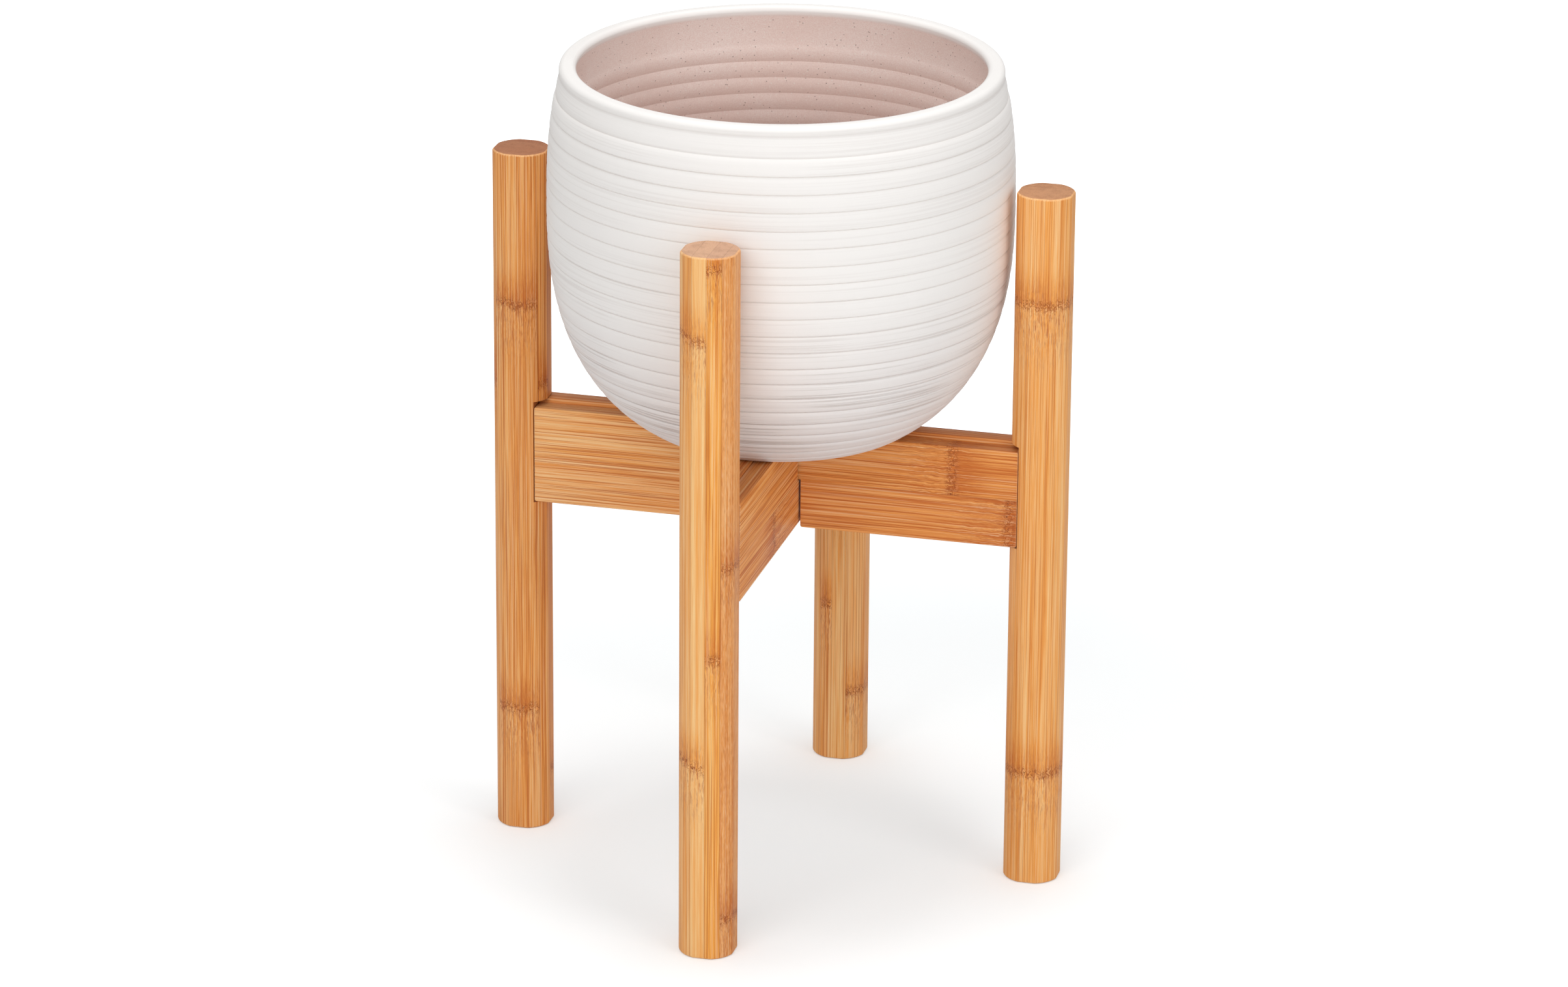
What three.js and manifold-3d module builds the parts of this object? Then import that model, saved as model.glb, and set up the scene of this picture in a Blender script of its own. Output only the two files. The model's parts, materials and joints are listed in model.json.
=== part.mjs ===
// An adjustable four-legged bamboo plant stand with its ribbed ceramic planter.
// Millimetres, +Z up. The origin is on the floor, midway between the legs:
// +X runs to the right-hand leg and +Y to the back leg.
import * as THREE from "three";
import { mergeVertices } from "three/addons/utils/BufferGeometryUtils.js";
import Module from "manifold-3d";

const wasm = await Module();
wasm.setup();

// ---- Legs: laminated dowels, planed flat on four sides ----
const legDiameter = 30;
const legAcrossFlats = 28.5;
const legHeight = 375;
const legEdgeRound = 1.2;
const potSideGap = 4.25; // between the planter's widest ring and a leg, with the bars pushed in
const housingDepth = 5.8; // flat recess on a leg's inner side that takes the slats' ends
const housingPlay = 0.5; // above and below the slats, so that the free one slides in

// ---- Slats: two side by side make one bar, and each is glued to one leg ----
const slatHeight = 52;
const slatThickness = 10;
const slatCorner = 2;
const slatEdge = 0.7;
const slatEndGap = 0.9; // shows as a dark slit between a slat's end and the leg
const barUnderside = 185.5;
const barTravel = 30; // how far each leg pulls out
const leftRightBarOffset = -1.6; // the left-right bar lies this far from the legs' centre plane, in Y
const frontBackBarOffset = 3.2; // and the front-back bar this far, in X
const rightSlatRise = 0; // how much higher than the lowest each leg's slat stands
const frontSlatRise = 1.8;
const leftSlatRise = 2.4;
const backSlatRise = 2.4;

// ---- Fits ----
const gap = 0.3; // between faces that rest on each other
const notchPlay = 1; // beside the crossing bar in a slat's notch
const overcut = 1; // how far a cutting solid runs out past the face that it opens

// ---- Dowels that join each slat to its leg ----
const dowelDiameter = 4;
const dowelLength = 24;
const dowelSpacing = 26;
const dowelPlay = 0.15;

// ---- Clamp through the crossing: screw from below, two washers and a nut ----
const screwDiameter = 5;
const screwPlay = 0.4;
const screwHeadDiameter = 8.5;
const screwHeadHeight = 3.8;
const screwSocketAcrossFlats = 4;
const screwSocketDepth = 2.4;
const washerDiameter = 12;
const washerThickness = 1.2;
const nutAcrossFlats = 8;
const nutHeight = 4;
const clampRecess = 6.7; // depth of the channels that hide the screw's head and the nut

// ---- Planter: a turned ceramic pot with rings all the way up ----
const potHeight = 191;
const potBellyRadius = 119.2;
const potBellyHeight = 118.4;
const potFullness = 2.5; // exponent of the rounded outline: 2 is an ellipse, more is squarer
const potClosesBelow = 13.6; // the outline would close this far under the foot
const potClosesAbove = 79.4; // and this far over the rim
const potWall = 8;
const potFloor = 9;
const potRibPitch = 9.2; // measured along the wall
const potPlainBand = 12.2; // between the lip and the uppermost ring
const potRibDepth = 0.8;
const potRimBand = 3.4; // plain lip under the top edge
const potRimRound = 2.4;
const potRimSteps = 3; // facets around each rounded edge of the rim
const potFootWidth = 9;
const potFootHeight = 2.5;
const potInnerPlainBand = 25; // smooth clay inside, under the rim
const potInnerRibPitch = 9.2;
const potInnerRibDepth = 0.7;
const ringCrest = 0.5; // share of a ring's height at which it stands out furthest
const potSegments = 44;

// ---- Worked out from the sizes above ----
const barHalfWidth = slatThickness + gap / 2;
const legSpread = potBellyRadius + potRibDepth + potSideGap + legAcrossFlats / 2; // centre to a leg's axis
const housingFloor = legSpread - legAcrossFlats / 2 + housingDepth;
const slatEnd = housingFloor - slatEndGap;
const crossingHeight = barUnderside + slatHeight / 2;
const barTop = barUnderside + slatHeight;
const highestRise = Math.max(rightSlatRise, frontSlatRise, leftSlatRise, backSlatRise);
const clampBottom = barUnderside + clampRecess;
const clampTop = barTop - clampRecess;
const grooveRadius = screwDiameter / 2 + screwPlay;
const channelRadius = washerDiameter / 2 + screwPlay;
const potBase = barTop + highestRise + gap;
const potLowerReach = potBellyHeight + potClosesBelow;
const potUpperReach = potHeight - potBellyHeight + potClosesAbove;

const bamboo = { color: 0xcf8a4a, roughness: 0.5, metalness: 0 };
const paleBamboo = { color: 0xe0a866, roughness: 0.5, metalness: 0 };
const beech = { color: 0xd9b98c, roughness: 0.7, metalness: 0 };
const zinc = { color: 0xb9bcc0, roughness: 0.35, metalness: 1 };
const clay = { color: 0xeeebe6, roughness: 0.75, metalness: 0 };

// A closed geometry as a solid that can be joined to others and cut.
function solid(geometry) {
  const bare = geometry.clone();
  bare.deleteAttribute("normal");
  bare.deleteAttribute("uv");
  const merged = mergeVertices(bare, 1e-4);
  return new wasm.Manifold(
    new wasm.Mesh({
      numProp: 3,
      vertProperties: new Float32Array(merged.attributes.position.array),
      triVerts: new Uint32Array(merged.index.array),
    }),
  );
}

function piece(name, shape, finish) {
  const { vertProperties, triVerts } = shape.getMesh();
  const geometry = new THREE.BufferGeometry();
  geometry.setAttribute("position", new THREE.BufferAttribute(vertProperties, 3));
  geometry.setIndex(new THREE.BufferAttribute(triVerts, 1));
  geometry.computeVertexNormals();
  const mesh = new THREE.Mesh(geometry, new THREE.MeshStandardMaterial(finish));
  mesh.name = name;
  return mesh;
}

// A prism from z = bottom to z = top.
function prism(outline, bottom, top, options = {}) {
  const { edge = 0, edgeSteps = 1, curveSegments = 6 } = options;
  const geometry = new THREE.ExtrudeGeometry(outline, {
    depth: top - bottom - 2 * edge,
    bevelEnabled: edge > 0,
    bevelThickness: edge,
    bevelSize: edge,
    bevelOffset: -edge,
    bevelSegments: edgeSteps,
    curveSegments,
  });
  return geometry.translate(0, 0, bottom + edge);
}

// A closed outline through the points, each corner rounded by its third number.
function roundedOutline(corners) {
  const shape = new THREE.Shape();
  corners.forEach(([x, y, radius], i) => {
    const here = new THREE.Vector2(x, y);
    const [bx, by] = corners[(i + corners.length - 1) % corners.length];
    const [ax, ay] = corners[(i + 1) % corners.length];
    const from = new THREE.Vector2(bx, by).sub(here).setLength(radius).add(here);
    const to = new THREE.Vector2(ax, ay).sub(here).setLength(radius).add(here);
    if (i === 0) shape.moveTo(from.x, from.y);
    else shape.lineTo(from.x, from.y);
    if (radius > 0) shape.quadraticCurveTo(x, y, to.x, to.y);
  });
  shape.closePath();
  return shape;
}

// A slot with round ends that runs along X between two centres.
function slotOutline(fromX, toX, y, radius) {
  const shape = new THREE.Shape();
  shape.absarc(toX, y, radius, -Math.PI / 2, Math.PI / 2, false);
  shape.absarc(fromX, y, radius, Math.PI / 2, (3 * Math.PI) / 2, false);
  shape.closePath();
  return shape;
}

function hexagon(acrossFlats) {
  const radius = acrossFlats / Math.sqrt(3);
  const corners = Array.from({ length: 6 }, (_, i) => {
    const angle = (i * Math.PI) / 3;
    return new THREE.Vector2(radius * Math.cos(angle), radius * Math.sin(angle));
  });
  return new THREE.Shape(corners);
}

function upright(diameter, bottom, top, segments = 24) {
  const cylinder = new THREE.CylinderGeometry(diameter / 2, diameter / 2, top - bottom, segments);
  return cylinder.rotateX(Math.PI / 2).translate(0, 0, (bottom + top) / 2);
}

// ---- One unit: a leg that stands out along +X, with the slat glued to it ----
// barOffset is the bar's seam in Y, crossOffset the other bar's seam in X, and rise lifts the slat.
// A slat notched from above is the same board rolled over, so it lies on the seam's other side.

function slatCentre(unit) {
  const side = unit.notch === "below" ? -1 : 1;
  return {
    y: unit.barOffset + (side * (slatThickness + gap)) / 2,
    z: barUnderside + unit.rise + slatHeight / 2,
  };
}

// The pair of dowels between leg and slat, or with play the holes that take them.
function dowels(unit, play = 0) {
  const { y, z } = slatCentre(unit);
  const length = dowelLength + 2 * play;
  const radius = dowelDiameter / 2 + play;
  return [-1, 1].map((side) =>
    new THREE.CylinderGeometry(radius, radius, length, 12)
      .rotateZ(Math.PI / 2)
      .translate(housingFloor - slatEndGap / 2, y, z + (side * dowelSpacing) / 2),
  );
}

function legOutline() {
  const radius = legDiameter / 2;
  const halfFlat = Math.acos(legAcrossFlats / legDiameter);
  const shape = new THREE.Shape();
  for (let quarter = 0; quarter < 4; quarter++) {
    const start = (quarter * Math.PI) / 2;
    shape.absarc(0, 0, radius, start + halfFlat, start + Math.PI / 2 - halfFlat, false);
  }
  shape.closePath();
  return shape;
}

function leg(unit) {
  const dowel = prism(legOutline(), 0, legHeight, { edge: legEdgeRound, edgeSteps: 2 });
  const bottom = barUnderside - housingPlay;
  const top = barTop + highestRise + housingPlay;
  const housing = new THREE.BoxGeometry(legDiameter, 2 * legDiameter, top - bottom).translate(
    housingFloor - legDiameter / 2,
    0,
    (bottom + top) / 2,
  );
  return dowels(unit, dowelPlay).reduce(
    (shape, hole) => shape.subtract(solid(hole)),
    solid(dowel.translate(legSpread, 0, 0)).subtract(solid(housing)),
  );
}

// The side view of a slat: a long board, notched halfway for the bar that crosses it.
function slatOutline(unit) {
  const bottom = barUnderside + unit.rise;
  const top = bottom + slatHeight;
  const right = unit.crossOffset + barHalfWidth + notchPlay;
  const left = unit.crossOffset - barHalfWidth - notchPlay - barTravel;
  const notch = (from, to, mouth, depth) => [
    [from, mouth, slatCorner],
    [from, depth, 0],
    [to, depth, 0],
    [to, mouth, slatCorner],
  ];
  const lower = unit.notch === "below" ? notch(left, right, bottom, crossingHeight + gap / 2) : [];
  const upper = unit.notch === "above" ? notch(right, left, top, crossingHeight - gap / 2) : [];
  return roundedOutline([
    [-slatEnd, bottom, slatCorner],
    ...lower,
    [slatEnd, bottom, slatCorner],
    [slatEnd, top, slatCorner],
    ...upper,
    [-slatEnd, top, slatCorner],
  ]);
}

// The groove that lets the clamp's screw pass, and the channel for its head or its nut.
function clampSlots(unit) {
  const from = unit.crossOffset - barTravel;
  const to = unit.crossOffset;
  const bottom = barUnderside - overcut;
  const top = barTop + highestRise + overcut;
  const groove = slotOutline(from, to, unit.barOffset, grooveRadius);
  const channel = slotOutline(from, to, unit.barOffset, channelRadius);
  const takesHead = unit.notch === "above";
  return [
    prism(groove, bottom, top),
    takesHead ? prism(channel, bottom, clampBottom) : prism(channel, clampTop, top),
  ];
}

function slat(unit) {
  const board = prism(slatOutline(unit), -slatThickness / 2, slatThickness / 2, {
    edge: slatEdge,
    curveSegments: 3,
  });
  board.rotateX(Math.PI / 2).translate(0, slatCentre(unit).y, 0);
  const cuts = [...clampSlots(unit), ...dowels(unit, dowelPlay)];
  return cuts.reduce((shape, cut) => shape.subtract(solid(cut)), solid(board));
}

function unitGroup(unit) {
  const group = new THREE.Group();
  group.add(
    piece(`${unit.name}_leg`, leg(unit), paleBamboo),
    piece(`${unit.name}_slat`, slat(unit), bamboo),
  );
  dowels(unit).forEach((dowel, i) => {
    group.add(piece(`${unit.name}_dowel_${i === 0 ? "lower" : "upper"}`, solid(dowel), beech));
  });
  group.rotation.z = unit.turn;
  return group;
}

// ---- Clamp ----

function clampScrew() {
  const underWasher = clampBottom - gap - washerThickness - gap;
  const headBottom = underWasher - screwHeadHeight;
  const socketTop = headBottom + screwSocketDepth;
  const shankTop = clampTop + gap + washerThickness + gap + nutHeight;
  const shank = upright(screwDiameter, (socketTop + underWasher) / 2, shankTop);
  const head = upright(screwHeadDiameter, headBottom, underWasher);
  const socket = prism(hexagon(screwSocketAcrossFlats), headBottom - overcut, socketTop);
  return solid(head).add(solid(shank)).subtract(solid(socket));
}

function bored(shape, bottom, top) {
  return shape.subtract(solid(upright(2 * grooveRadius, bottom - overcut, top + overcut)));
}

function washer(bottom) {
  const top = bottom + washerThickness;
  return bored(solid(upright(washerDiameter, bottom, top)), bottom, top);
}

function clampNut() {
  const bottom = clampTop + gap + washerThickness + gap;
  return bored(solid(prism(hexagon(nutAcrossFlats), bottom, bottom + nutHeight)), bottom, bottom + nutHeight);
}

function clampGroup() {
  const group = new THREE.Group();
  group.add(
    piece("clamp_screw", clampScrew(), zinc),
    piece("clamp_washer_lower", washer(clampBottom - gap - washerThickness), zinc),
    piece("clamp_washer_upper", washer(clampTop + gap), zinc),
    piece("clamp_nut", clampNut(), zinc),
  );
  group.position.set(frontBackBarOffset, leftRightBarOffset, 0);
  return group;
}

// ---- Planter ----

// The plain outer radius at a height above the base: two quarter superellipses that meet at the belly.
function potRadius(height) {
  const reach = height < potBellyHeight ? potLowerReach : potUpperReach;
  const share = Math.abs(height - potBellyHeight) / reach;
  return potBellyRadius * (1 - share ** potFullness) ** (1 / potFullness);
}

// Points on the outline, moved in by inset, at equal steps along the wall from one height to another.
function wallPoints(fromHeight, toHeight, inset, pitch) {
  const fine = [];
  const samples = 400;
  for (let i = 0; i <= samples; i++) {
    const height = fromHeight + ((toHeight - fromHeight) * i) / samples;
    fine.push(new THREE.Vector2(potRadius(height) - inset, height));
  }
  const wall = new THREE.Path(fine);
  const steps = Math.max(2, Math.round(wall.getLength() / pitch));
  return wall.getSpacedPoints(steps);
}

// Each ring is a low roll that stands out between two grooves.
function ribbed(points, depth, outward) {
  const rings = [];
  for (let i = 0; i + 1 < points.length; i++) {
    const low = points[i];
    const high = points[i + 1];
    const crest = low.clone().lerp(high, ringCrest);
    crest.x += outward * depth;
    rings.push(low, crest);
    if (i + 2 === points.length) rings.push(high);
  }
  return rings;
}

// The rim's rounded edge, a quarter turn from one angle about a centre.
function rimEdge(centreRadius, fromAngle) {
  return Array.from({ length: potRimSteps + 1 }, (_, i) => {
    const angle = fromAngle + (i * Math.PI) / 2 / potRimSteps;
    return new THREE.Vector2(
      centreRadius + potRimRound * Math.cos(angle),
      potHeight - potRimRound + potRimRound * Math.sin(angle),
    );
  });
}

function planter() {
  const lipBottom = potHeight - potRimBand;
  const footRadius = potRadius(0);
  const outside = ribbed(wallPoints(0, lipBottom - potPlainBand, 0, potRibPitch), potRibDepth, 1);
  const lipRadius = potRadius(lipBottom) + potRibDepth;
  const innerRim = lipRadius - potWall - potRibDepth;
  const plainBottom = potHeight - potInnerPlainBand;
  const inside = ribbed(wallPoints(potFloor, plainBottom, potWall, potInnerRibPitch), potInnerRibDepth, -1);
  const profile = [
    new THREE.Vector2(0, potFootHeight),
    new THREE.Vector2(footRadius - potFootWidth, potFootHeight),
    new THREE.Vector2(footRadius - potFootWidth + potFootHeight, 0),
    ...outside,
    ...wallPoints(lipBottom - potPlainBand, lipBottom, 0, potRibPitch / 2).slice(1),
    new THREE.Vector2(lipRadius, lipBottom + potRibDepth),
    ...rimEdge(lipRadius - potRimRound, 0),
    ...rimEdge(innerRim + potRimRound, Math.PI / 2),
    ...inside.reverse(),
    new THREE.Vector2(0, potFloor),
  ];
  return new THREE.LatheGeometry(profile, potSegments).rotateX(Math.PI / 2).translate(0, 0, potBase);
}

// ---- The whole stand ----

const quarterTurn = Math.PI / 2;
const units = [
  {
    name: "right",
    turn: 0,
    notch: "below",
    rise: rightSlatRise,
    barOffset: leftRightBarOffset,
    crossOffset: frontBackBarOffset,
  },
  {
    name: "back",
    turn: quarterTurn,
    notch: "above",
    rise: backSlatRise,
    barOffset: -frontBackBarOffset,
    crossOffset: leftRightBarOffset,
  },
  {
    name: "left",
    turn: 2 * quarterTurn,
    notch: "below",
    rise: leftSlatRise,
    barOffset: -leftRightBarOffset,
    crossOffset: -frontBackBarOffset,
  },
  {
    name: "front",
    turn: 3 * quarterTurn,
    notch: "above",
    rise: frontSlatRise,
    barOffset: frontBackBarOffset,
    crossOffset: -leftRightBarOffset,
  },
];

const stand = new THREE.Group();
units.forEach((unit) => stand.add(unitGroup(unit)));
stand.add(clampGroup());
stand.add(piece("planter", solid(planter()), clay));

export default stand;
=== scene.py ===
"""A bamboo plant stand with a ringed ceramic pot, dressed over its solids. Metres, Z up."""

import json
import math

import bmesh
import bpy
from mathutils import Matrix, Vector


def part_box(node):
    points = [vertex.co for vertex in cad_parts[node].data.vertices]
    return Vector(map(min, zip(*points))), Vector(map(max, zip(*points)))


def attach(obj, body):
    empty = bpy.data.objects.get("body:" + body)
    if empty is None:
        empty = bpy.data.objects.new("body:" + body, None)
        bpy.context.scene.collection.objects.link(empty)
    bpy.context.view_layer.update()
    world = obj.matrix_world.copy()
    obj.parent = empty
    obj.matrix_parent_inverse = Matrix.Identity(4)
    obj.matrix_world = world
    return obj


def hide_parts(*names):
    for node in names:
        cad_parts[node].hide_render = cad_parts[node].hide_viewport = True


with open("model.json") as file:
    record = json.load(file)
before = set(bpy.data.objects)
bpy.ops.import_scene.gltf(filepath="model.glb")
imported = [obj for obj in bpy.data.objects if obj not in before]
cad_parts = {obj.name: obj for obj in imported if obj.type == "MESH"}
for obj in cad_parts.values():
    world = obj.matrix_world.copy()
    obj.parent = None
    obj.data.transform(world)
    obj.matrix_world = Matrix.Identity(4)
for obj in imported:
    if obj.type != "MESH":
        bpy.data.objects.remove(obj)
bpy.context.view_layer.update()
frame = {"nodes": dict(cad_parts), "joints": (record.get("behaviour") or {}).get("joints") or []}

MM = 0.001

# ---- Sizes that the solids set ----
UNITS = {"right": 0.0, "back": math.pi / 2, "left": math.pi, "front": -math.pi / 2}
leg_low, leg_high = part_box("right_leg")
LEG_AXIS = (leg_low.x + leg_high.x) / 2  # from the stand's centre to a leg's axis
LEG_HALF_FLATS = (leg_high.y - leg_low.y) / 2
LEG_HEIGHT = leg_high.z
slat_boxes = {name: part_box(name + "_slat") for name in UNITS}
SLAT_HEIGHT = slat_boxes["right"][1].z - slat_boxes["right"][0].z
SLAT_THICKNESS = slat_boxes["right"][1].y - slat_boxes["right"][0].y
SLAT_END = slat_boxes["right"][1].x
BAR_BOTTOM = min(low.z for low, high in slat_boxes.values())
BAR_TOP = max(high.z for low, high in slat_boxes.values())
pot_low, pot_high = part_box("planter")
POT_BASE = pot_low.z
POT_HEIGHT = pot_high.z - pot_low.z
TRAVEL = max(joint["range_m"][1] for joint in frame["joints"] if joint["child"] != "pot")
screw_low, screw_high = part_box("clamp_screw")
CROSSING = Vector(((screw_low.x + screw_high.x) / 2, (screw_low.y + screw_high.y) / 2, 0))

# ---- Sizes of the fine shapes ----
GAP = 0.3 * MM
LEG_RADIUS = 15 * MM
LEG_EDGE = 1.3 * MM
HOUSING_PLAY = 0.5 * MM
SLAT_END_GAP = 0.4 * MM
SLAT_CORNER = 1.2 * MM
SLAT_EDGE = 0.5 * MM
NOTCH_PLAY = 1 * MM
CHANNEL_DEPTH = 6.7 * MM
SCREW_GROOVE = 2.9 * MM  # radii of the slots along the seam that the clamp runs in
WASHER_CHANNEL = 6.4 * MM

POT_BELLY_RADIUS = 119.2 * MM
POT_BELLY_HEIGHT = 118.4 * MM
POT_FULLNESS = 2.5
POT_LOWER_REACH = 132 * MM
POT_UPPER_REACH = 152 * MM
POT_WALL = 8 * MM
POT_FLOOR = 9 * MM
RING_PITCH = 9.2 * MM
RING_DEPTH = 0.8 * MM
RING_FALL = 0.5 * MM  # how far a ring curves in at its edges, and how much more it does at the foot
RING_FALL_AT_FOOT = 0.5 * MM
GROOVE_DEPTH = 0.25 * MM
GROOVE_WIDTH = 1.2 * MM
PLAIN_BAND = 10.7 * MM
RIM_BAND = 4.9 * MM
RIM_ROUND = 2.9 * MM
LIP_LEDGE = 0.5 * MM
FOOT_WIDTH = 9 * MM
FOOT_HEIGHT = 2.5 * MM
INNER_PLAIN_BAND = 22.3 * MM
INNER_RING_DEPTH = 0.9 * MM
GLAZE_DEPTH = 4.6 * MM  # how far the white glaze reaches down inside
GLAZE_FADE = 1.6 * MM
POT_STEPS = 216


# ---- Finishes ----
NORMAL_COORDINATES = 1  # outputs of the Texture Coordinate node
OBJECT_COORDINATES = 3
ATTRIBUTE_VALUE = 2  # output of the Attribute node
SPOT_CORE = 0.6  # the share of a spot's radius inside which it is at full strength


class Finish:
    """One material. Each method adds a node and gives back the socket that comes out of it."""

    def __init__(self, name):
        self.material = bpy.data.materials.new(name)
        self.material.use_nodes = True
        self.tree = self.material.node_tree
        self.shader = self.tree.nodes["Principled BSDF"]

    def feed(self, socket, value):
        if isinstance(value, bpy.types.NodeSocket):
            self.tree.links.new(value, socket)
        else:
            socket.default_value = value

    def add(self, kind, inputs=(), output=0, **settings):
        node = self.tree.nodes.new(kind)
        for key, value in settings.items():
            setattr(node, key, value)
        for key, value in dict(inputs).items():
            self.feed(node.inputs[key], value)
        return node.outputs[output]

    def math(self, operation, *values):
        return self.add("ShaderNodeMath", enumerate(values), operation=operation)

    def total(self, first, *others):
        for other in others:
            first = self.math("ADD", first, other)
        return first

    def product(self, first, *others):
        for other in others:
            first = self.math("MULTIPLY", first, other)
        return first

    def scaled(self, value, factor, offset=0.0):
        return self.math("MULTIPLY_ADD", value, factor, offset)

    def step(self, value, start, stop, low=0.0, high=1.0):
        """Low up to start, high from stop on, with a smooth rise between them."""
        inputs = {
            "Value": value, "From Min": start, "From Max": stop, "To Min": low, "To Max": high,
        }
        return self.add("ShaderNodeMapRange", inputs, interpolation_type="SMOOTHSTEP")

    def vector(self, x, y, z):
        return self.add("ShaderNodeCombineXYZ", {0: x, 1: y, 2: z})

    def split(self, vector):
        node = self.tree.nodes.new("ShaderNodeSeparateXYZ")
        self.tree.links.new(vector, node.inputs[0])
        return node.outputs[0], node.outputs[1], node.outputs[2]

    def place(self, centre=(0, 0, 0), turn=0.0):
        """Object coordinates in millimetres from a centre, turned about Z."""
        inputs = {
            "Vector": self.add("ShaderNodeTexCoord", output=OBJECT_COORDINATES),
            "Location": centre,
            "Rotation": (0, 0, turn),
            "Scale": (MM, MM, MM),
        }
        return self.add("ShaderNodeMapping", inputs, vector_type="TEXTURE")

    def noise(self, vector, scale=1.0, detail=2.0, roughness=0.5, distortion=0.0):
        inputs = {
            "Vector": vector, "Scale": scale, "Detail": detail, "Roughness": roughness,
            "Distortion": distortion,
        }
        return self.add("ShaderNodeTexNoise", inputs)

    def dots(self, vector, scale, radius):
        """Small round spots with soft edges, one in each cell. The radius is a share of a cell."""
        distance = self.add("ShaderNodeTexVoronoi", {"Vector": vector, "Scale": scale})
        return self.step(distance, radius * SPOT_CORE, radius, 1.0, 0.0)

    def ramp(self, factor, stops, interpolation="LINEAR"):
        node = self.tree.nodes.new("ShaderNodeValToRGB")
        band = node.color_ramp
        band.interpolation = interpolation
        while len(band.elements) < len(stops):
            band.elements.new(1.0)
        for element, (position, colour) in zip(band.elements, stops):
            element.position = position
            element.color = (*colour, 1)
        self.tree.links.new(factor, node.inputs[0])
        return node.outputs[0]

    def mix(self, factor, a, b):
        """From colour a at 0 to colour b at 1. The node takes its colours at sockets 6 and 7."""
        a, b = (
            value if isinstance(value, bpy.types.NodeSocket) else (*value, 1) for value in (a, b)
        )
        return self.add("ShaderNodeMix", {0: factor, 6: a, 7: b}, output=2, data_type="RGBA")

    def finish(self, colour, roughness, height, bump_height, specular=0.5):
        bump = {"Strength": 1.0, "Distance": bump_height, "Height": height}
        self.feed(self.shader.inputs["Base Color"], colour)
        self.feed(self.shader.inputs["Roughness"], roughness)
        self.feed(self.shader.inputs["Specular IOR Level"], specular)
        self.feed(self.shader.inputs["Normal"], self.add("ShaderNodeBump", bump))
        return self.material


def srgb(red, green, blue):
    """A colour picked on screen, 0 to 255, as linear light."""
    return tuple(((level / 255 + 0.055) / 1.055) ** 2.4 for level in (red, green, blue))


GOLD_DARK = srgb(216, 122, 36)
GOLD_MID = srgb(246, 170, 78)
GOLD_LIGHT = srgb(253, 216, 150)
TAN_DARK = srgb(190, 100, 46)
TAN_MID = srgb(230, 151, 86)
TAN_LIGHT = srgb(248, 198, 146)
LINE_BROWN = srgb(184, 94, 34)
KNUCKLE_BROWN = srgb(158, 78, 26)
PIT_BROWN = srgb(104, 48, 18)
SEAM_AND_TOP_SHADE_BROWN = srgb(146, 76, 34)
PALE_FIBRE_AND_PAINTED_HIGHLIGHT = srgb(248, 206, 160)
END_GRAIN_DARK = srgb(112, 62, 36)

# Measures of the marks in the bamboo, in millimetres.
LONGEST = 400  # no strip's measure along the grain passes this
LEG_STRIP_WIDTH = 30  # what one row of strips takes up across the board
SLAT_STRIP_WIDTH = 54
SEAM_DARK = 0.05  # a glue seam is at its darkest up to the first distance, and gone at the second
SEAM_CLEAR = 0.25
KNUCKLE_WAVE = 8.0  # how far a knuckle's line strays along the grain
KNUCKLE_CLEAR = 5.0
TORN_REACH = 48.0  # how far the torn grain reaches below a knuckle, and the darker grain above it
SHADE_REACH = 24.0
LEG_SWAY = 0.9  # how far the grain sways aside at a knuckle
SLAT_SWAY = 2.4
PIT_RADIUS = 0.2  # a pit's size as a share of its cell
BAMBOO_RELIEF = 0.08 * MM


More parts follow.
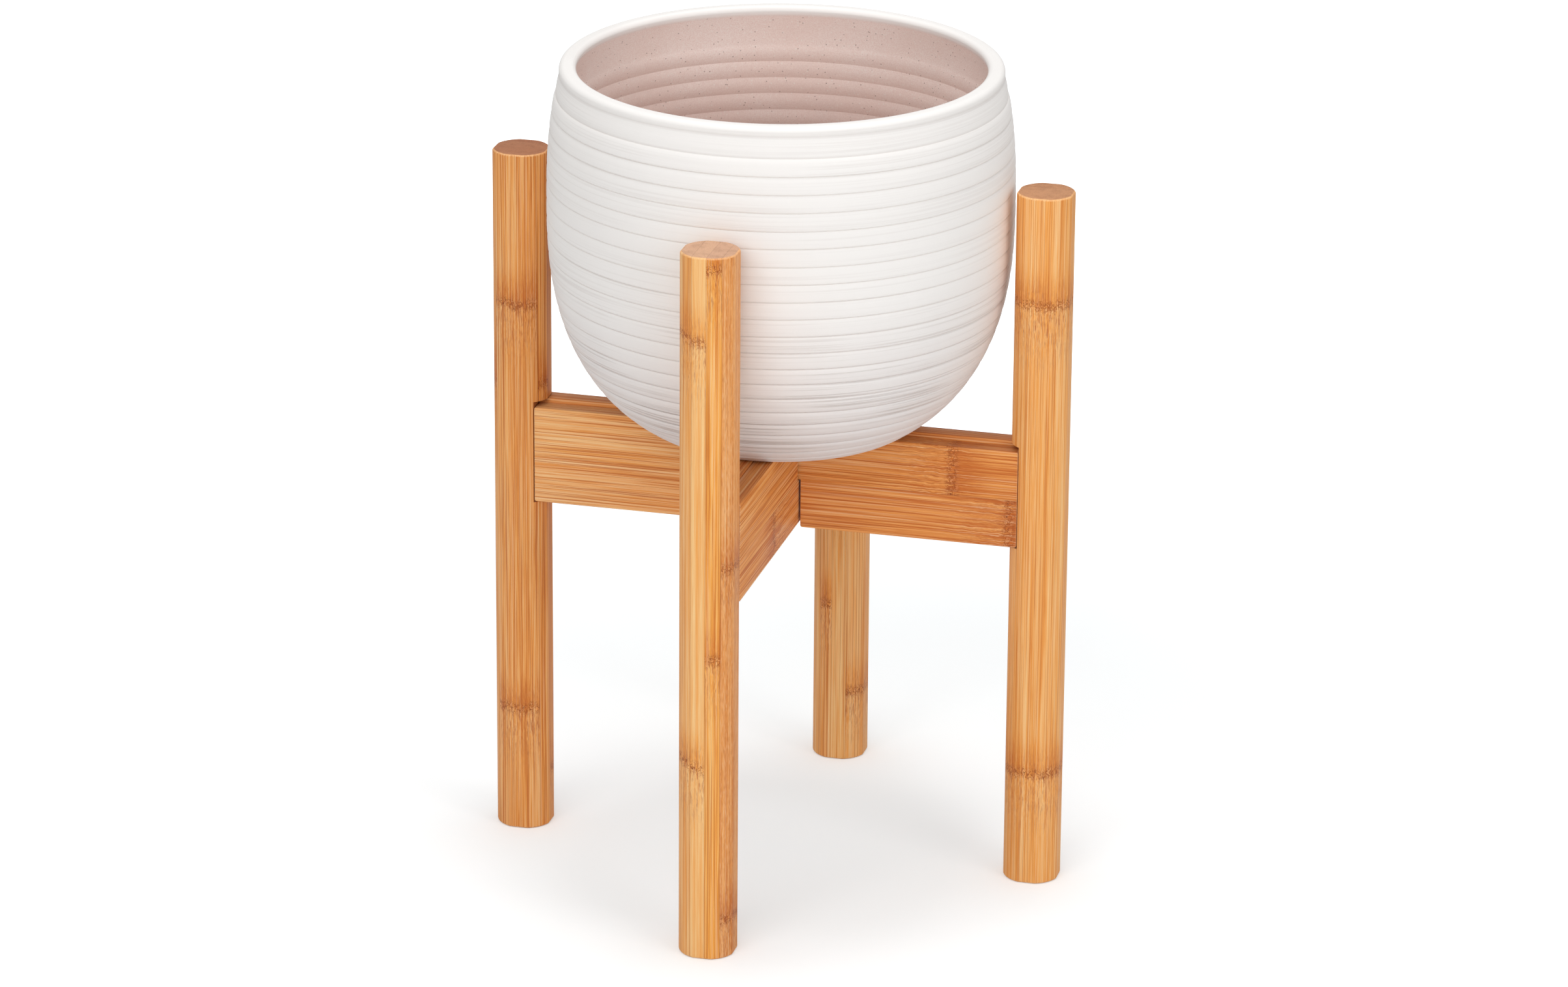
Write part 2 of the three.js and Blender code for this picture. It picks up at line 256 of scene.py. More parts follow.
def bamboo(name, centre, turn, upright, strips, width, seed, end_tone, painted_shade_drift=0.0):
    """Carbonised bamboo glued up from strips. Drift is painted shade: how much lighter it grows per
    metre.
    """
    f = Finish(name)
    x, y, z = f.split(f.place(centre, turn))
    across, beside, along = (y, x, z) if upright else (z, y, x)
    wander = f.noise(f.vector(seed, f.scaled(along, 0.008), 0.0), detail=1.0)
    across = f.total(across, f.scaled(wander, 1.0, -0.5))
    share = f.scaled(across, 1 / width, 0.5)

    def values(*columns):
        stops = [(row[0] / width + 0.5, [row[column] for column in columns]) for row in strips]
        return f.split(f.ramp(share, stops, "CONSTANT"))

    knuckle_at, spacing, pores = values(1, 2, 6)
    gold, light, streaks = values(3, 4, 5)
    seam = 1.0
    for start, *rest in strips[1:]:
        seam = f.math("MINIMUM", seam, f.math("ABSOLUTE", f.math("SUBTRACT", across, start)))
    seam = f.step(seam, SEAM_DARK, SEAM_CLEAR, 1.0, 0.0)

    # Knuckles: a crumpled line across the strip, with torn grain below it and darker grain above.
    ragged = f.noise(
        f.vector(f.scaled(across, 0.4), f.scaled(beside, 0.4), seed), detail=3.0, roughness=0.7
    )
    stray = f.scaled(ragged, KNUCKLE_WAVE, -KNUCKLE_WAVE / 2)
    past = f.math("DIVIDE", f.math("SUBTRACT", f.scaled(along, 1 / LONGEST), knuckle_at), spacing)
    past = f.math("SUBTRACT", f.math("FRACT", f.total(past, 0.5)), 0.5)
    past = f.total(f.scaled(f.product(past, spacing), LONGEST), stray)
    near = f.math("ABSOLUTE", past)
    core = f.step(near, 1.0, KNUCKLE_CLEAR, 1.0, 0.0)
    below = f.product(f.step(past, -TORN_REACH, -4.0), f.step(past, -1.0, 4.0, 1.0, 0.0))
    above = f.product(f.step(past, SHADE_REACH, 2.0), f.step(past, -3.0, 1.0))
    torn = f.math("MAXIMUM", below, f.scaled(above, 0.8))

    # Grain, from broad bands to single fibres, all swaying aside at the knuckles.
    bend = f.noise(f.vector(f.scaled(across, 0.5), f.scaled(along, 0.13), seed), detail=2.0)
    sway = LEG_SWAY if upright else SLAT_SWAY
    aside = f.product(f.math("MAXIMUM", torn, core), f.scaled(bend, sway, -sway / 2))
    bent = f.total(across, aside)
    bands = f.noise(
        f.vector(f.scaled(bent, 0.42, seed), f.scaled(beside, 0.42), f.scaled(along, 0.005)),
        detail=2.0,
    )
    lines = f.noise(
        f.vector(f.scaled(bent, 1.3, seed), f.scaled(beside, 1.3), f.scaled(along, 0.014)),
        detail=4.0, roughness=0.65,
    )
    hairs = f.noise(
        f.vector(f.scaled(bent, 1.6), f.scaled(beside, 1.6, seed), f.scaled(along, 0.009)),
        detail=1.0,
    )
    fibres = f.noise(
        f.vector(f.scaled(bent, 5.0, seed), f.scaled(beside, 5.0), f.scaled(along, 0.05))
    )
    shreds = f.noise(
        f.vector(f.scaled(bent, 2.0), f.scaled(beside, 2.0, seed), f.scaled(along, 0.11)),
        detail=3.0, roughness=0.6,
    )

    tone = f.total(
        f.scaled(light, 0.8, 0.02),
        # Painted shade: the drift lightens or darkens the board along its length.
        f.scaled(along, painted_shade_drift * MM, -painted_shade_drift * SLAT_END),
        f.scaled(bands, 0.9, -0.45),
        f.product(f.scaled(lines, 1.0, -0.5), f.scaled(streaks, 1.8, 0.5)),
        f.scaled(fibres, 0.8, -0.4),
        f.product(torn, f.scaled(shreds, 2.0, -1.0)),
        f.scaled(above, -0.22),
        f.scaled(below, 0.06),
    )
    golden = f.ramp(tone, [(0.0, GOLD_DARK), (0.45, GOLD_MID), (1.0, GOLD_LIGHT)])
    tan = f.ramp(tone, [(0.0, TAN_DARK), (0.45, TAN_MID), (1.0, TAN_LIGHT)])
    colour = f.mix(gold, tan, golden)
    hair = f.product(f.step(hairs, 0.55, 0.63), f.scaled(streaks, 1.2))
    colour = f.mix(hair, colour, LINE_BROWN)
    glint = f.product(f.step(hairs, 0.43, 0.37), f.scaled(streaks, 0.7))
    colour = f.mix(glint, colour, PALE_FIBRE_AND_PAINTED_HIGHLIGHT)
    colour = f.mix(f.product(torn, f.step(shreds, 0.51, 0.62), 0.85), colour, LINE_BROWN)

    # Pores, where a strip shows them.
    grit = f.noise(
        f.vector(f.scaled(across, 2.6), f.scaled(beside, 2.6), f.scaled(along, 0.22)), detail=1.0
    )
    colour = f.mix(f.product(pores, f.step(grit, 0.56, 0.68), 0.5), colour, PALE_FIBRE_AND_PAINTED_HIGHLIGHT)
    colour = f.mix(f.product(pores, f.step(grit, 0.44, 0.34), 0.4), colour, KNUCKLE_BROWN)

    # Curled brown marks with a painted highlight beside them for relief, and a few pits on the
    # knuckle's own line.
    curls = f.noise(
        f.vector(f.scaled(across, 0.55), f.scaled(beside, 0.55), f.scaled(along, 0.3, seed)),
        detail=2.0, distortion=1.6,
    )
    curl = f.step(f.math("ABSOLUTE", f.scaled(curls, 1.0, -0.5)), 0.025, 0.08, 1.0, 0.0)
    mark = f.product(core, curl)
    # Painted highlight: a pale line just beside each curl.
    curl_painted_highlight = f.step(f.math("ABSOLUTE", f.scaled(curls, 1.0, -0.61)), 0.02, 0.06, 1.0, 0.0)
    colour = f.mix(f.product(core, curl_painted_highlight, 0.16), colour, PALE_FIBRE_AND_PAINTED_HIGHLIGHT)
    colour = f.mix(f.scaled(mark, 0.8), colour, KNUCKLE_BROWN)
    pits = f.dots(f.vector(across, beside, along), 0.4, PIT_RADIUS)
    pit = f.product(f.step(near, 1.2, 2.6, 1.0, 0.0), pits)
    colour = f.mix(f.scaled(pit, 0.7), colour, PIT_BROWN)
    colour = f.mix(f.scaled(seam, 0.35), colour, SEAM_AND_TOP_SHADE_BROWN)

    # Sawn ends, found by the way the surface faces: close dots of cut fibre, and faint clouds.
    # A board's upper edge gets painted shade where it faces up.
    normal = f.add("ShaderNodeTexCoord", output=NORMAL_COORDINATES)
    if upright:
        facing = f.split(normal)[2]
    else:
        # Painted shade on the board's top, where it faces up.
        colour = f.mix(f.step(f.split(normal)[2], 0.7, 0.95, 0.0, 0.32), colour, SEAM_AND_TOP_SHADE_BROWN)
        inputs = {"Vector": normal, "Angle": -turn}
        unturned = f.add("ShaderNodeVectorRotate", inputs, rotation_type="Z_AXIS")
        facing = f.split(unturned)[0]
    facing = f.math("ABSOLUTE", facing)
    cut = f.step(facing, 0.8, 0.95)
    pores_cut = f.dots(f.vector(across, beside, 0.0), 1.3, 0.42)
    cloud = f.noise(f.vector(across, beside, seed), scale=0.22, detail=4.0, roughness=0.6)
    stain = f.total(f.product(pores_cut, 0.12), f.step(cloud, 0.42, 0.72, 0.0, 0.2))
    end = f.mix(f.scaled(light, 0.25), end_tone, PALE_FIBRE_AND_PAINTED_HIGHLIGHT)
    end = f.mix(stain, end, END_GRAIN_DARK)
    end = f.mix(f.scaled(seam, 0.22), end, END_GRAIN_DARK)
    # Painted highlight: paler on the rounded edges, where the surface turns toward a sawn end.
    colour = f.mix(f.scaled(f.step(facing, 0.2, 0.5), 0.35), colour, PALE_FIBRE_AND_PAINTED_HIGHLIGHT)
    colour = f.mix(cut, colour, end)

    roughness = f.total(f.scaled(fibres, 0.3, 0.33), f.scaled(cut, 0.15))
    height = f.total(
        f.scaled(lines, 0.8), f.scaled(fibres, 0.7), f.scaled(hair, -0.5), f.scaled(mark, -0.3),
        f.scaled(pit, -0.8), f.scaled(seam, -0.6), f.product(torn, shreds, -0.8),
        f.product(cut, pores_cut, -1.0),
    )
    return f.finish(colour, roughness, height, BAMBOO_RELIEF, 0.3)


CLAY_WHITE = srgb(246, 243, 240)
CLAY_LOW = srgb(233, 227, 225)
CLAY_LINE_AND_CREASE_SHADE = srgb(204, 195, 190)
CLAY_PINK = srgb(248, 228, 219)
CLAY_PINK_DARK = srgb(238, 214, 205)
CLAY_PINK_LIGHT = srgb(252, 238, 231)
PINK_PAINTED_DEPTH_SHADE = srgb(178, 146, 136)
SPECK_LIGHT = srgb(250, 238, 230)
SPECK_DARK = srgb(120, 88, 78)
CLAY_RELIEF = 0.1 * MM
INSIDE_SHADE = (110, 30)  # how far below the rim the inside's painted shade is darkest and where it ends, in millimetres


def stoneware():
    """Matt off-white clay with turning marks, and a finely speckled taupe pink inside."""
    f = Finish("pot_stoneware")
    groove = f.add("ShaderNodeAttribute", output=ATTRIBUTE_VALUE, attribute_name="groove")
    inner = f.add("ShaderNodeAttribute", output=ATTRIBUTE_VALUE, attribute_name="inner")
    spot = f.place()
    x, y, z = f.split(spot)
    cloud = f.noise(spot, scale=0.02, detail=4.0)
    low = f.step(z, POT_BASE / MM, (POT_BASE + POT_BELLY_HEIGHT) / MM, 1.0, 0.0)

    # Fine lines from the turning, which come and go around the pot and show more low down.
    lines = f.noise(
        f.vector(f.scaled(x, 0.004), f.scaled(y, 0.004), f.scaled(z, 0.85)),
        detail=3.0, roughness=0.65,
    )
    patches = f.noise(
        f.vector(f.scaled(x, 0.012), f.scaled(y, 0.012), f.scaled(z, 0.04)), detail=2.0
    )
    shown = f.product(f.step(patches, 0.3, 0.6), f.scaled(low, 1.4, 0.25))
    line = f.product(f.step(lines, 0.5, 0.64), shown)

    grain = f.noise(spot, scale=1.7, detail=2.0, roughness=0.7)
    white = f.mix(f.total(low, f.scaled(cloud, 0.4, -0.2)), CLAY_WHITE, CLAY_LOW)
    white = f.mix(f.scaled(line, 0.6), white, CLAY_LINE_AND_CREASE_SHADE)
    # Painted shade in the grooves between the rings, stronger low down.
    white = f.mix(f.product(groove, f.scaled(low, 0.35, 0.4)), white, CLAY_LINE_AND_CREASE_SHADE)
    white = f.mix(f.product(f.dots(spot, 0.045, 0.012), 0.5), white, SPECK_DARK)

    pink = f.mix(f.step(cloud, 0.3, 0.7), CLAY_PINK, CLAY_PINK_LIGHT)
    pink = f.mix(f.step(grain, 0.38, 0.66, 0.0, 0.75), pink, CLAY_PINK_DARK)
    pink = f.mix(f.product(f.dots(spot, 0.42, 0.22), 0.9), pink, SPECK_LIGHT)
    pink = f.mix(f.product(f.dots(spot, 0.31, 0.13), 0.6), pink, SPECK_DARK)
    # Painted shade in the creases between the inner rolls.
    pink = f.mix(f.scaled(groove, 0.15), pink, CLAY_PINK_DARK)
    rim = (POT_BASE + POT_HEIGHT) / MM
    darkest, plain = (rim - below for below in INSIDE_SHADE)
    # Painted shade: the pink darkens deeper inside the pot, towards its bottom.
    pink = f.mix(f.step(z, darkest, plain, 0.7, 0.0), pink, PINK_PAINTED_DEPTH_SHADE)
    colour = f.mix(inner, white, pink)

    # The white glaze ends inside in a low glossy bead.
    bead = f.product(f.step(inner, 0.02, 0.4), f.step(inner, 0.6, 0.98, 1.0, 0.0))
    roughness = f.total(f.scaled(grain, 0.15, 0.5), f.scaled(bead, -0.3))
    height = f.total(
        f.scaled(lines, 0.5), f.scaled(line, -1.2), f.scaled(grain, 0.3), f.scaled(bead, 0.6)
    )
    return f.finish(colour, roughness, height, CLAY_RELIEF, 0.2)


BEECH_DARK = srgb(180, 134, 88)
BEECH_LIGHT = srgb(224, 190, 146)
BEECH_RELIEF = 0.03 * MM


def plain_wood():
    """Raw beech for the dowels, with small darker flecks."""
    f = Finish("dowel_beech")
    flecks = f.noise(f.place(), scale=1.8, detail=3.0)
    colour = f.ramp(flecks, [(0.3, BEECH_DARK), (0.55, BEECH_LIGHT)])
    return f.finish(colour, f.scaled(flecks, 0.3, 0.5), flecks, BEECH_RELIEF)


ZINC_LIGHT = srgb(204, 208, 214)
ZINC_DARK = srgb(176, 180, 186)
ZINC_RELIEF = 0.02 * MM


def zinc():
    """Bright zinc plate with a faint turned grain."""
    f = Finish("clamp_zinc")
    f.shader.inputs["Metallic"].default_value = 1.0
    spot = f.place(CROSSING)
    x, y, z = f.split(spot)
    grain = f.noise(f.vector(f.scaled(x, 0.6), f.scaled(y, 0.6), f.scaled(z, 9.0)), detail=3.0)
    blotch = f.noise(spot, scale=0.35, detail=2.0)
    colour = f.mix(blotch, ZINC_LIGHT, ZINC_DARK)
    return f.finish(colour, f.scaled(grain, 0.3, 0.22), grain, ZINC_RELIEF)


# ---- Shapes ----
SHARP_ANGLE = math.radians(35)  # faces that meet at more than this keep a crisp edge
LEG_SEGMENTS = 96
CUTTER_SEGMENTS = 32
CUT_MERGE = 0.01 * MM  # corners that a cut leaves closer than this are made one
TINY = 0.001 * MM


def new_object(name, bm):
    """Makes an object of a shape and puts it in the scene."""
    mesh = bpy.data.meshes.new(name)
    bm.to_mesh(mesh)
    bm.free()
    item = bpy.data.objects.new(name, mesh)
    bpy.context.scene.collection.objects.link(item)
    return item


def new_piece(name, bm, material, body, node):
    """A visible piece that rides a body in the place of a solid."""
    piece = new_object(name, bm)
    piece.data.materials.append(material)
    piece.data.shade_smooth()
    piece.data.set_sharp_from_angle(angle=SHARP_ANGLE)
    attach(piece, body)
    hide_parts(node)


def extruded(bm, face, move):
    """Thickens a face into a solid by a move."""
    grown = bmesh.ops.extrude_face_region(bm, geom=[face])["geom"]
    far = [item for item in grown if isinstance(item, bmesh.types.BMVert)]
    bmesh.ops.translate(bm, verts=far, vec=move)
    bmesh.ops.recalc_face_normals(bm, faces=bm.faces)


def softened(bm, edges, offset, segments):
    """Rounds edges off."""
    bmesh.ops.bevel(
        bm, geom=edges, offset=offset, segments=segments, profile=0.5, affect="EDGES", material=-1,
        clamp_overlap=True,
    )


def run(edge, axis):
    """How far an edge runs along an axis: 0, 1 or 2 for X, Y or Z."""
    return abs(edge.verts[0].co[axis] - edge.verts[1].co[axis])


def round_leg():
    """An upright round leg on the +X side, planed flat on four sides."""
    bm = bmesh.new()
    bmesh.ops.create_circle(bm, cap_ends=True, segments=LEG_SEGMENTS, radius=LEG_RADIUS)
    for vert in bm.verts:
        vert.co.x = max(-LEG_HALF_FLATS, min(LEG_HALF_FLATS, vert.co.x))
        vert.co.y = max(-LEG_HALF_FLATS, min(LEG_HALF_FLATS, vert.co.y))
    extruded(bm, bm.faces[:][0], (0, 0, LEG_HEIGHT))
    rims = [edge for edge in bm.edges if run(edge, 2) < GAP]
    softened(bm, rims, LEG_EDGE, 4)
    bmesh.ops.translate(bm, verts=bm.verts, vec=(LEG_AXIS, 0, 0))
    return bm


def block(low, high):
    """A plain block between two corners."""
    bm = bmesh.new()
    bmesh.ops.create_cube(bm, size=1.0)
    bmesh.ops.scale(bm, verts=bm.verts, vec=[b - a for a, b in zip(low, high)])
    bmesh.ops.translate(bm, verts=bm.verts, vec=[(a + b) / 2 for a, b in zip(low, high)])
    return bm


def slot_cutter(from_x, to_x, y, radius, bottom, top):
    """A block with round ends that runs along X between two centres."""
    bm = bmesh.new()
    bmesh.ops.create_cone(
        bm, cap_ends=True, segments=CUTTER_SEGMENTS, radius1=radius, radius2=radius,
        depth=top - bottom,
    )
    for vert in bm.verts:
        vert.co.x += to_x if vert.co.x > 0 else from_x
    bmesh.ops.translate(bm, verts=bm.verts, vec=(0, y, (bottom + top) / 2))
    return bm


def carved(bm, cutters, turn):
    """The shape less each cutter, turned about the stand's centre into its place."""
    body = new_object("shape", bm)
    tools = [new_object("cutter", cutter) for cutter in cutters]
    for tool in tools:
        cut = body.modifiers.new("cut", "BOOLEAN")
        cut.operation = "DIFFERENCE"
        cut.solver = "EXACT"
        cut.object = tool
    bpy.context.view_layer.update()
    result = bmesh.new()
    result.from_object(body, bpy.context.evaluated_depsgraph_get())
    for item in [body, *tools]:
        bpy.data.objects.remove(item)
    bmesh.ops.remove_doubles(result, verts=result.verts, dist=CUT_MERGE)
    bmesh.ops.dissolve_degenerate(result, edges=result.edges, dist=TINY)
    bmesh.ops.rotate(result, verts=result.verts, matrix=Matrix.Rotation(turn, 3, "Z"))
    return result


def leg(turn):
    """A leg with the housing that the slats' ends sit in. The housing is cut right through."""
    reach = 2 * LEG_RADIUS
    housing_floor = SLAT_END + SLAT_END_GAP
    housing = block(
        (housing_floor - reach, -reach, BAR_BOTTOM - HOUSING_PLAY),
        (housing_floor, reach, BAR_TOP + HOUSING_PLAY),
    )
    return carved(round_leg(), [housing], turn)


def slat(name, turn):
    """A board with slots for the clamp and a half-lap notch as long as the bar and the travel."""
    from_centre = Matrix.Rotation(-turn, 3, "Z")
    low, high = (from_centre @ corner for corner in slat_boxes[name])
    y_low, y_high = sorted((low.y, high.y))
    crossing = from_centre @ CROSSING
    opens_down = name in ("right", "left")

    # The outline seen from the side, with the notch let into the lower or the upper edge.
    half_bar = SLAT_THICKNESS + GAP / 2
    right = crossing.x + half_bar + NOTCH_PLAY
    left = crossing.x - half_bar - NOTCH_PLAY - TRAVEL
    middle = BAR_BOTTOM + SLAT_HEIGHT / 2
    lower_edge = [(-SLAT_END, low.z), (SLAT_END, low.z)]
    upper_edge = [(SLAT_END, high.z), (-SLAT_END, high.z)]
    if opens_down:
        depth = middle + GAP / 2
        lower_edge[1:1] = [(left, low.z), (left, depth), (right, depth), (right, low.z)]
    else:
        depth = middle - GAP / 2
        upper_edge[1:1] = [(right, high.z), (right, depth), (left, depth), (left, high.z)]
    bm = bmesh.new()
    face = bm.faces.new([bm.verts.new((x, y_low, z)) for x, z in lower_edge + upper_edge])
    extruded(bm, face, (0, y_high - y_low, 0))
    corner_edges = [
        edge for edge in bm.edges if run(edge, 1) > GAP and abs(edge.verts[0].co.z - depth) > GAP
    ]
    softened(bm, corner_edges, SLAT_CORNER, 5)
    softened(bm, [edge for edge in bm.edges if run(edge, 1) < GAP], SLAT_EDGE, 3)

    # Half of the screw's slot, and of the washer's channel in the edge across from the notch.
    bottom, top = BAR_BOTTOM - CHANNEL_DEPTH, BAR_TOP + CHANNEL_DEPTH
    slot = (crossing.x - TRAVEL, crossing.x, crossing.y)
    groove = slot_cutter(*slot, SCREW_GROOVE, bottom, top)
    if opens_down:
        bottom = BAR_BOTTOM + SLAT_HEIGHT - CHANNEL_DEPTH
    else:
        top = BAR_BOTTOM + CHANNEL_DEPTH
    channel = slot_cutter(*slot, WASHER_CHANNEL, bottom, top)
    return carved(bm, [groove, channel], turn)


# ---- Pot ----

def pot_radius(height):
    """The plain outline: two quarter superellipses that meet at the belly."""
    reach = POT_LOWER_REACH if height < POT_BELLY_HEIGHT else POT_UPPER_REACH
    share = abs(height - POT_BELLY_HEIGHT) / reach
    return POT_BELLY_RADIUS * (1 - share ** POT_FULLNESS) ** (1 / POT_FULLNESS)


def ring_heights(start, stop):
    """Where the rings begin and end, at equal steps along the wall."""
    samples = 600
    heights = [start + (stop - start) * i / samples for i in range(samples + 1)]
    lengths = [0.0]
    for low, high in zip(heights, heights[1:]):
        lengths.append(lengths[-1] + math.hypot(high - low, pot_radius(high) - pot_radius(low)))
    rings = max(2, round(lengths[-1] / RING_PITCH))
    picked = []
    at = 0
    for ring in range(rings + 1):
        goal = lengths[-1] * ring / rings
        while at < samples and lengths[at] < goal:
            at += 1
        picked.append(heights[at])
    return picked


# Where a ring's outline has its points, as shares of the ring from its bottom to its top.
RING_STEPS = [0.0, 0.022, 0.044, 0.08, 0.14, 0.35, 0.62, 0.72, 0.82, 0.9, 0.956, 0.978]
INNER_RING_STEPS = [0.0, 0.03, 0.12, 0.3, 0.55, 0.8, 0.95]
FALL_BELOW = 0.14  # shares of a ring over which its outline falls away at the bottom and the top
FALL_ABOVE = 0.38
INNER_SHADE_LINE = 0.1  # the share of an inner ring that its painted shade line takes up at either end
LIP_SHADE_LINE = 0.8  # strength of the painted shade line below the lip, and of what is left of it above
LIP_SHADE_LINE_ABOVE = 0.2
ROUND_STEPS = 8
BAND_STEPS = 8
INNER_BAND_STEPS = 14

# A profile point is its radius, its height, how much painted shade of a groove's line it carries,
# and how far it belongs to the pink inside.


def ring_outline(share):
    """How far a ring stands out, 0 to 1: a short curve at the bottom, a slope at the top."""
    below = min(1.0, share / FALL_BELOW)
    above = min(1.0, (1 - share) / FALL_ABOVE)
    return min(math.sin(math.pi / 2 * below), 1 - (1 - above) ** 2)


def outer_rings(start, stop):
    """Profile points up the outside, with a fine groove between two rings that carries painted
    shade.
    """
    points = []
    heights = ring_heights(start, stop)
    for low, high in zip(heights, heights[1:]):
        for share in RING_STEPS:
            height = low + (high - low) * share
            from_line = min(share, 1 - share) * RING_PITCH
            # Painted shade along the groove between two rings.
            line = max(0.0, 1 - from_line / (GROOVE_WIDTH / 2)) ** 2
            fall = RING_FALL + RING_FALL_AT_FOOT * max(0.0, 1 - height / POT_BELLY_HEIGHT)
            swell = RING_DEPTH - fall * (1 - ring_outline(share)) - GROOVE_DEPTH * line
            points.append((pot_radius(height) + swell, height, line, 0))
    points.append((pot_radius(stop) + RING_DEPTH - RING_FALL - GROOVE_DEPTH, stop, 1, 0))
    return points


def inner_rings(start, stop):
    """Profile points up the inside, a row of round rolls."""
    points = []
    heights = ring_heights(start, stop)
    for low, high in zip(heights, heights[1:]):
        for share in INNER_RING_STEPS:
            height = low + (high - low) * share
            swell = INNER_RING_DEPTH * (1 - (2 * share - 1) ** 2)
            # Painted shade in the crease between two rolls.
            line = max(0.0, 1 - min(share, 1 - share) / INNER_SHADE_LINE)
            points.append((pot_radius(height) - POT_WALL - swell, height, line, 1))
    points.append((pot_radius(stop) - POT_WALL, stop, 0, 1))
    return points


def quarter_round(centre_radius, centre_height, radius, start):
    """Profile points of the rim's round edge, a quarter turn from an angle."""
    angles = [start + math.pi / 2 * i / ROUND_STEPS for i in range(ROUND_STEPS + 1)]
    return [
        (centre_radius + radius * math.cos(angle), centre_height + radius * math.sin(angle), 0, 0)
        for angle in angles
    ]


def pot_profile():
    """The pot's section: from under the foot up the outside, over the rim and down the inside."""
    lip_bottom = POT_HEIGHT - RIM_BAND
    foot_radius = pot_radius(0)
    ringed_top = lip_bottom - PLAIN_BAND
    lip_radius = pot_radius(lip_bottom) + RING_DEPTH
    inner_rim = lip_radius - POT_WALL - RING_DEPTH
    plain_bottom = POT_HEIGHT - INNER_PLAIN_BAND
    foot_inside = foot_radius - FOOT_WIDTH
    points = [
        (0, FOOT_HEIGHT, 0, 0),
        (foot_inside - FOOT_HEIGHT / 2, FOOT_HEIGHT, 0, 0),
        (foot_inside, FOOT_HEIGHT / 2, 0, 0),
        (foot_inside + FOOT_HEIGHT / 4, FOOT_HEIGHT / 8, 0, 0),
        (foot_inside + FOOT_HEIGHT / 2, 0, 0, 0),
        (foot_radius - FOOT_HEIGHT / 2, 0, 0, 0),
    ]
    points += outer_rings(0, ringed_top)[1:]
    for i in range(1, BAND_STEPS + 1):
        share = i / BAND_STEPS
        height = ringed_top + PLAIN_BAND * share
        swell = (RING_DEPTH - LIP_LEDGE / 2) * math.sin(math.pi / 2 * min(1.0, 2 * share))
        # Painted shade under the lip.
        points.append((pot_radius(height) + swell, height, LIP_SHADE_LINE if share == 1 else 0, 0))
    points.append((lip_radius, lip_bottom + LIP_LEDGE, LIP_SHADE_LINE_ABOVE, 0))
    round_height = POT_HEIGHT - RIM_ROUND
    points += quarter_round(lip_radius - RIM_ROUND, round_height, RIM_ROUND, 0)
    points += quarter_round(inner_rim + RIM_ROUND, round_height, RIM_ROUND, math.pi / 2)
    drop = INNER_PLAIN_BAND - RIM_ROUND
    widening = pot_radius(plain_bottom) - POT_WALL - inner_rim
    for i in range(1, INNER_BAND_STEPS):
        share = i / INNER_BAND_STEPS
        height = round_height - drop * share
        depth = POT_HEIGHT - height
        glaze_left = max(0.0, min(1.0, (depth - GLAZE_DEPTH) / GLAZE_FADE + 0.5))
        points.append((inner_rim + widening * math.sin(math.pi / 2 * share), height, 0, glaze_left))
    points += reversed(inner_rings(POT_FLOOR, plain_bottom))
    points.append((0, POT_FLOOR, 0, 1))
    return points


def pot():
    """The profile spun round, with its painted groove shade and its inside as clay attributes."""
    bm = bmesh.new()
    groove = bm.verts.layers.float.new("groove")
    inner = bm.verts.layers.float.new("inner")
    verts = []
    for radius, height, line, share in pot_profile():
        vert = bm.verts.new((radius, 0, POT_BASE + height))
        vert[groove] = float(line)
        vert[inner] = float(share)
        verts.append(vert)
    edges = [bm.edges.new(pair) for pair in zip(verts, verts[1:])]
    bmesh.ops.spin(
        bm, geom=verts + edges, cent=(0, 0, 0), axis=(0, 0, 1), angle=2 * math.pi, steps=POT_STEPS,
        use_merge=True,
    )
    bmesh.ops.remove_doubles(bm, verts=bm.verts, dist=TINY)
    bmesh.ops.recalc_face_normals(bm, faces=bm.faces)
    return bm


# ---- The view ----
# Fitted to the legs' edges, feet and tops. The yaw turns left, the pitch looks down.
CAMERA_PLACE = Vector((0.79409, -3.07951, 1.36310))
CAMERA_YAW = math.radians(14.569)
CAMERA_PITCH = math.radians(20.035)
CAMERA_ROLL = math.radians(0.383)
CAMERA_LENS = 149.58
CAMERA_SHIFT = (0.01064, -0.0057)


def camera():
    level = Vector((-math.sin(CAMERA_YAW), math.cos(CAMERA_YAW), 0))
    ahead = level * math.cos(CAMERA_PITCH) - Vector((0, 0, math.sin(CAMERA_PITCH)))
    right = Vector((math.cos(CAMERA_YAW), math.sin(CAMERA_YAW), 0))
    up = right.cross(ahead)
    turned_right = right * math.cos(CAMERA_ROLL) + up * math.sin(CAMERA_ROLL)
    turned_up = up * math.cos(CAMERA_ROLL) - right * math.sin(CAMERA_ROLL)
    data = bpy.data.cameras.new("camera")
    data.lens = CAMERA_LENS
    data.sensor_width = 36
    data.sensor_fit = "HORIZONTAL"
    data.shift_x, data.shift_y = CAMERA_SHIFT
    data.clip_end = 50
    item = bpy.data.objects.new("camera", data)
    rotation = Matrix((turned_right, turned_up, -ahead)).transposed()
    item.matrix_world = Matrix.Translation(CAMERA_PLACE) @ rotation.to_4x4()
    bpy.context.scene.collection.objects.link(item)
    bpy.context.scene.camera = item


def softbox(name, place, target, size, power):
    data = bpy.data.lights.new(name, "AREA")
    data.shape = "SQUARE"
    data.size = size
    data.energy = power
    item = bpy.data.objects.new(name, data)
    item.location = place
    item.rotation_euler = (Vector(target) - Vector(place)).to_track_quat("-Z", "Y").to_euler()
    bpy.context.scene.collection.objects.link(item)


